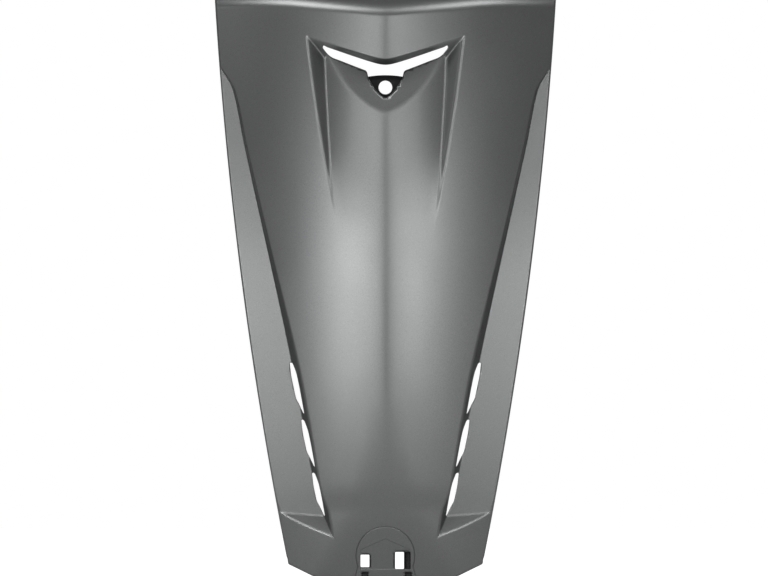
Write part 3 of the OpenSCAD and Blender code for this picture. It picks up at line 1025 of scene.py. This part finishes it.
def bumped(tree, shader, height, strength):
    bump = tree.nodes.new("ShaderNodeBump")
    bump.inputs["Strength"].default_value = strength
    bump.inputs["Distance"].default_value = GRAIN_D
    tree.links.new(height, bump.inputs["Height"])
    tree.links.new(bump.outputs["Normal"], shader.inputs["Normal"])


def satin_paint():
    """Grey paint with fine metal flakes and a faint orange peel."""
    material, tree, shader = node_material("satin_grey_paint")
    place = tree.nodes.new("ShaderNodeTexCoord")
    flake = ranged(tree, noise(tree, place, scale=1400.0, detail=1.0), 0.0, 1.0)
    cloud = ranged(tree, noise(tree, place, scale=14.0, detail=3.0), 0.31, 0.34)
    colour = mixed(tree, flake, (0.300, 0.306, 0.306), (0.362, 0.368, 0.368))
    tree.links.new(colour, shader.inputs["Base Color"])
    tree.links.new(cloud, shader.inputs["Roughness"])
    shader.inputs["Metallic"].default_value = 0.96
    shader.inputs["Specular IOR Level"].default_value = 0.5
    bumped(tree, shader, noise(tree, place, scale=420.0, detail=2.0), 0.12)
    return material


def bare_plastic():
    """Unpainted black plastic with a fine grain."""
    material, tree, shader = node_material("bare_black_plastic")
    place = tree.nodes.new("ShaderNodeTexCoord")
    grain = noise(tree, place, scale=900.0, detail=3.0, rough=0.6)
    flow = ranged(tree, noise(tree, place, scale=22.0, detail=2.0), 0.0, 1.0)
    colour = mixed(tree, flow, (0.012, 0.012, 0.012), (0.020, 0.020, 0.019))
    tree.links.new(colour, shader.inputs["Base Color"])
    tree.links.new(ranged(tree, grain, 0.50, 0.64), shader.inputs["Roughness"])
    bumped(tree, shader, grain, 0.25)
    return material


mesh.materials.append(satin_paint())
mesh.materials.append(bare_plastic())
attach(panel, "root")
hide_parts("front_panel")

# Camera: straight on, far off and with a long lens
CAMERA_GAP = 12.0
CAMERA_X = -0.00133
CAMERA_Y = -0.03 - CAMERA_GAP
CAMERA_Z = -0.1905
VIEW_W = 0.7277
SENSOR_W = 36.0
camera_data = bpy.data.cameras.new("camera")
camera_data.sensor_width = SENSOR_W
camera_data.lens = SENSOR_W * CAMERA_GAP / VIEW_W
camera_data.clip_end = 50.0
camera = bpy.data.objects.new("camera", camera_data)
camera.location = (CAMERA_X, CAMERA_Y, CAMERA_Z)
camera.rotation_euler = (math.radians(90.0), 0.0, 0.0)
bpy.context.scene.collection.objects.link(camera)
bpy.context.scene.camera = camera

# Floor: pale, and close to white where the camera sees it
FLOOR_HALF = 3.0
FLOOR_DROP = 0.0005
FLOOR_Z = FOOT_Z * MM - FLOOR_DROP
FLOOR_GREY = 0.8
FLOOR_GLOW = 0.96
CORNERS = [(-1, -1), (1, -1), (1, 1), (-1, 1)]


def pale_floor():
    material, tree, shader = node_material("pale_floor")
    shader.inputs["Base Color"].default_value = (FLOOR_GREY, FLOOR_GREY, FLOOR_GREY, 1.0)
    shader.inputs["Roughness"].default_value = 0.9
    shader.inputs["Specular IOR Level"].default_value = 0.1
    shader.inputs["Emission Color"].default_value = (1.0, 1.0, 1.0, 1.0)
    path = tree.nodes.new("ShaderNodeLightPath")
    level = tree.nodes.new("ShaderNodeMath")
    level.operation = "MULTIPLY"
    level.inputs[1].default_value = FLOOR_GLOW
    tree.links.new(path.outputs["Is Camera Ray"], level.inputs[0])
    tree.links.new(level.outputs[0], shader.inputs["Emission Strength"])
    return material


floor_mesh = bpy.data.meshes.new("floor")
floor_mesh.from_pydata([(a * FLOOR_HALF, b * FLOOR_HALF, FLOOR_Z) for a, b in CORNERS], [], [(0, 1, 2, 3)])
floor_mesh.materials.append(pale_floor())
floor = bpy.data.objects.new("floor", floor_mesh)
bpy.context.scene.collection.objects.link(floor)

# World: white to the camera, a dim studio to everything else
STUDIO_LEVEL = 0.16


def studio_world():
    world = bpy.data.worlds.new("studio")
    world.use_nodes = True
    tree = world.node_tree
    sky = tree.nodes["Background"]
    sky.inputs["Color"].default_value = (1.0, 1.0, 1.0, 1.0)
    path = tree.nodes.new("ShaderNodeLightPath")
    level = tree.nodes.new("ShaderNodeMapRange")
    level.inputs["To Min"].default_value = STUDIO_LEVEL
    level.inputs["To Max"].default_value = 1.0
    tree.links.new(path.outputs["Is Camera Ray"], level.inputs["Value"])
    tree.links.new(level.outputs["Result"], sky.inputs["Strength"])
    return world


bpy.context.scene.world = studio_world()

# Lamps: strips in front on both sides of the keel, and two overhead for what faces upwards
MIDDLE = (0.0, -0.03, -0.2)
LAMP_GAP = 2.5
OVERHEAD_X = 0.80
OVERHEAD_Y = -0.85
OVERHEAD_Z = 2.10
OVERHEAD_SIZE = (0.9, 0.9)


def lamp(name, at, size, power):
    """A soft lamp that looks at the middle of the panel."""
    data = bpy.data.lights.new(name, "AREA")
    data.shape = "RECTANGLE"
    data.size, data.size_y = size
    data.energy = power
    item = bpy.data.objects.new(name, data)
    item.location = at
    item.rotation_euler = (Vector(MIDDLE) - Vector(at)).to_track_quat("-Z", "Y").to_euler()
    bpy.context.scene.collection.objects.link(item)


def stand(name, side, height, size, power):
    """A lamp on a stand, side degrees round from the front, height metres above the screw hole."""
    angle = math.radians(side)
    at = (LAMP_GAP * math.sin(angle), MIDDLE[1] - LAMP_GAP * math.cos(angle), height)
    lamp(name, at, size, power)


def overhead(name, x, power):
    lamp(name, (x, OVERHEAD_Y, OVERHEAD_Z), OVERHEAD_SIZE, power)


stand("left_strip", -18.5, 0.0, (0.45, 0.9), 2.2)
stand("left_strip_low", -21.0, -0.15, (0.25, 0.6), 2.2)
stand("left_strip_high", -13.0, 1.0, (0.35, 0.65), 2.2)
stand("left_middle", -9.0, 0.0, (0.3, 0.9), 1.0)
stand("left_side", -60.0, 1.0, (1.0, 0.8), 0.9)
stand("right_strip", 17.0, 0.0, (0.35, 0.9), 3.7)
stand("right_wide", 24.0, 0.05, (0.9, 0.5), 0.6)
stand("right_strip_high", 12.0, 1.0, (0.3, 0.65), 1.8)
overhead("overhead_left", -OVERHEAD_X, 8.5)
overhead("overhead_right", OVERHEAD_X, 6.0)

bpy.context.scene.view_settings.view_transform = "Standard"
